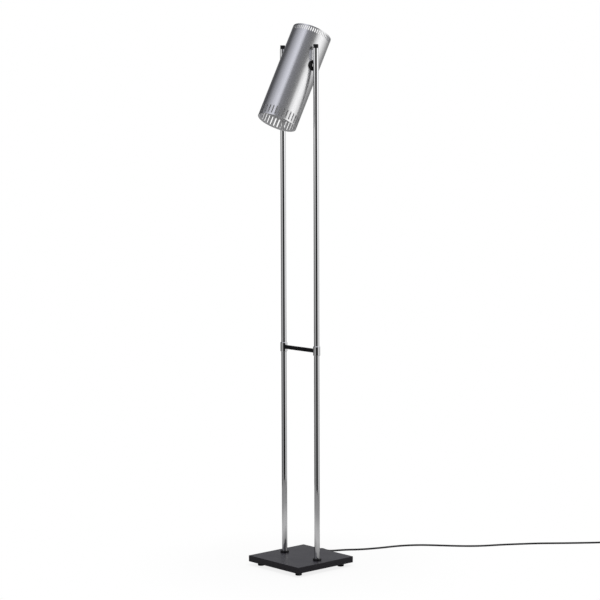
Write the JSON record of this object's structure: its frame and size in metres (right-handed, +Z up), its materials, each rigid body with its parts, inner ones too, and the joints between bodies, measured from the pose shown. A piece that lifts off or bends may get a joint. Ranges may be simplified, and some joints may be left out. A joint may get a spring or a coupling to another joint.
{
  "type": "floor lamp",
  "caption": "Floor lamp with a square black base, twin chrome poles tied by a crossbar, and a slotted aluminium tube shade that tilts between the poles.",
  "frame": {"origin": "on the floor under the middle of the square base plate", "axes": "+Z up, +X along the line from the left pole to the right pole, -Y the side the tilted shade lights"},
  "size_m": [0.6257, 0.9576, 1.3958],
  "materials": {
    "base_black": "satin black powder coat",
    "crossbar_black": "satin black lacquer",
    "pole_chrome": "polished chrome plate",
    "shade_aluminium": "satin brushed, clear anodised",
    "black_plastic": "moulded, fine texture",
    "black_rubber": "moulded rubber",
    "zinc_steel": "bright zinc plate",
    "brass": "bare, slightly dull",
    "nickel_pins": "nickel plated",
    "holder_black": "thermoset, low gloss",
    "ceramic": "glazed white",
    "opal_glass": "opal white, smooth",
    "bulb_metal": "bright rolled thread",
    "wire_insulation": "silicone",
    "cord_black": "smooth PVC sheath"
  },
  "bodies": {
    "stand": {"base_plate": "base_black", "feet": "black_rubber", "foot_screws": "zinc_steel", "left_pole": "pole_chrome", "right_pole": "pole_chrome", "left_pole_stud": "zinc_steel", "right_pole_stud": "zinc_steel", "pole_washers": "zinc_steel", "pole_nuts": "zinc_steel", "left_base_collar": "black_plastic", "right_base_collar": "black_plastic", "left_pole_cap": "black_plastic", "right_pole_cap": "black_plastic", "crossbar": "crossbar_black", "left_sleeve": "pole_chrome", "right_sleeve": "pole_chrome", "sleeve_grub_screws": "zinc_steel", "left_pivot_block": "zinc_steel", "right_pivot_block": "zinc_steel", "left_spindle": "pole_chrome", "right_spindle": "pole_chrome", "right_stop_ring": "zinc_steel", "left_friction_ring": "zinc_steel", "spring_washers": "zinc_steel", "pivot_nuts": "zinc_steel", "pole_wire": "wire_insulation", "cord_clamp": "black_plastic", "clamp_screws": "zinc_steel", "strain_relief": "black_rubber", "cord_inlet": "cord_black", "cord": "cord_black", "cord_coil": "cord_black", "coil_tie": "black_plastic", "plug_boot": "black_plastic", "plug_body": "black_plastic", "plug_pins": "nickel_pins"},
    "head": {"shade": "shade_aluminium", "left_pivot_disc": "black_plastic", "right_pivot_disc": "black_plastic", "left_inner_seat": "black_plastic", "right_inner_seat": "black_plastic", "lamp_bridge": "zinc_steel", "stop_pin": "zinc_steel", "wire_grommet": "black_rubber", "holder_nipple": "zinc_steel", "nipple_nut": "zinc_steel", "holder_cap": "holder_black", "holder_core": "ceramic", "center_contact": "brass", "screw_shell": "brass", "holder_skirt": "holder_black", "bulb_cap": "bulb_metal", "bulb_glass": "opal_glass", "head_wire": "wire_insulation", "wire_sleeve": "wire_insulation"}
  },
  "joints": [
    {"name": "shade_tilt", "type": "hinge", "parent": "stand", "child": "head", "pos_m": [0, 0, 1.289], "axis": [1, 0, 0], "range_deg": [-122, 178]}
  ]
}
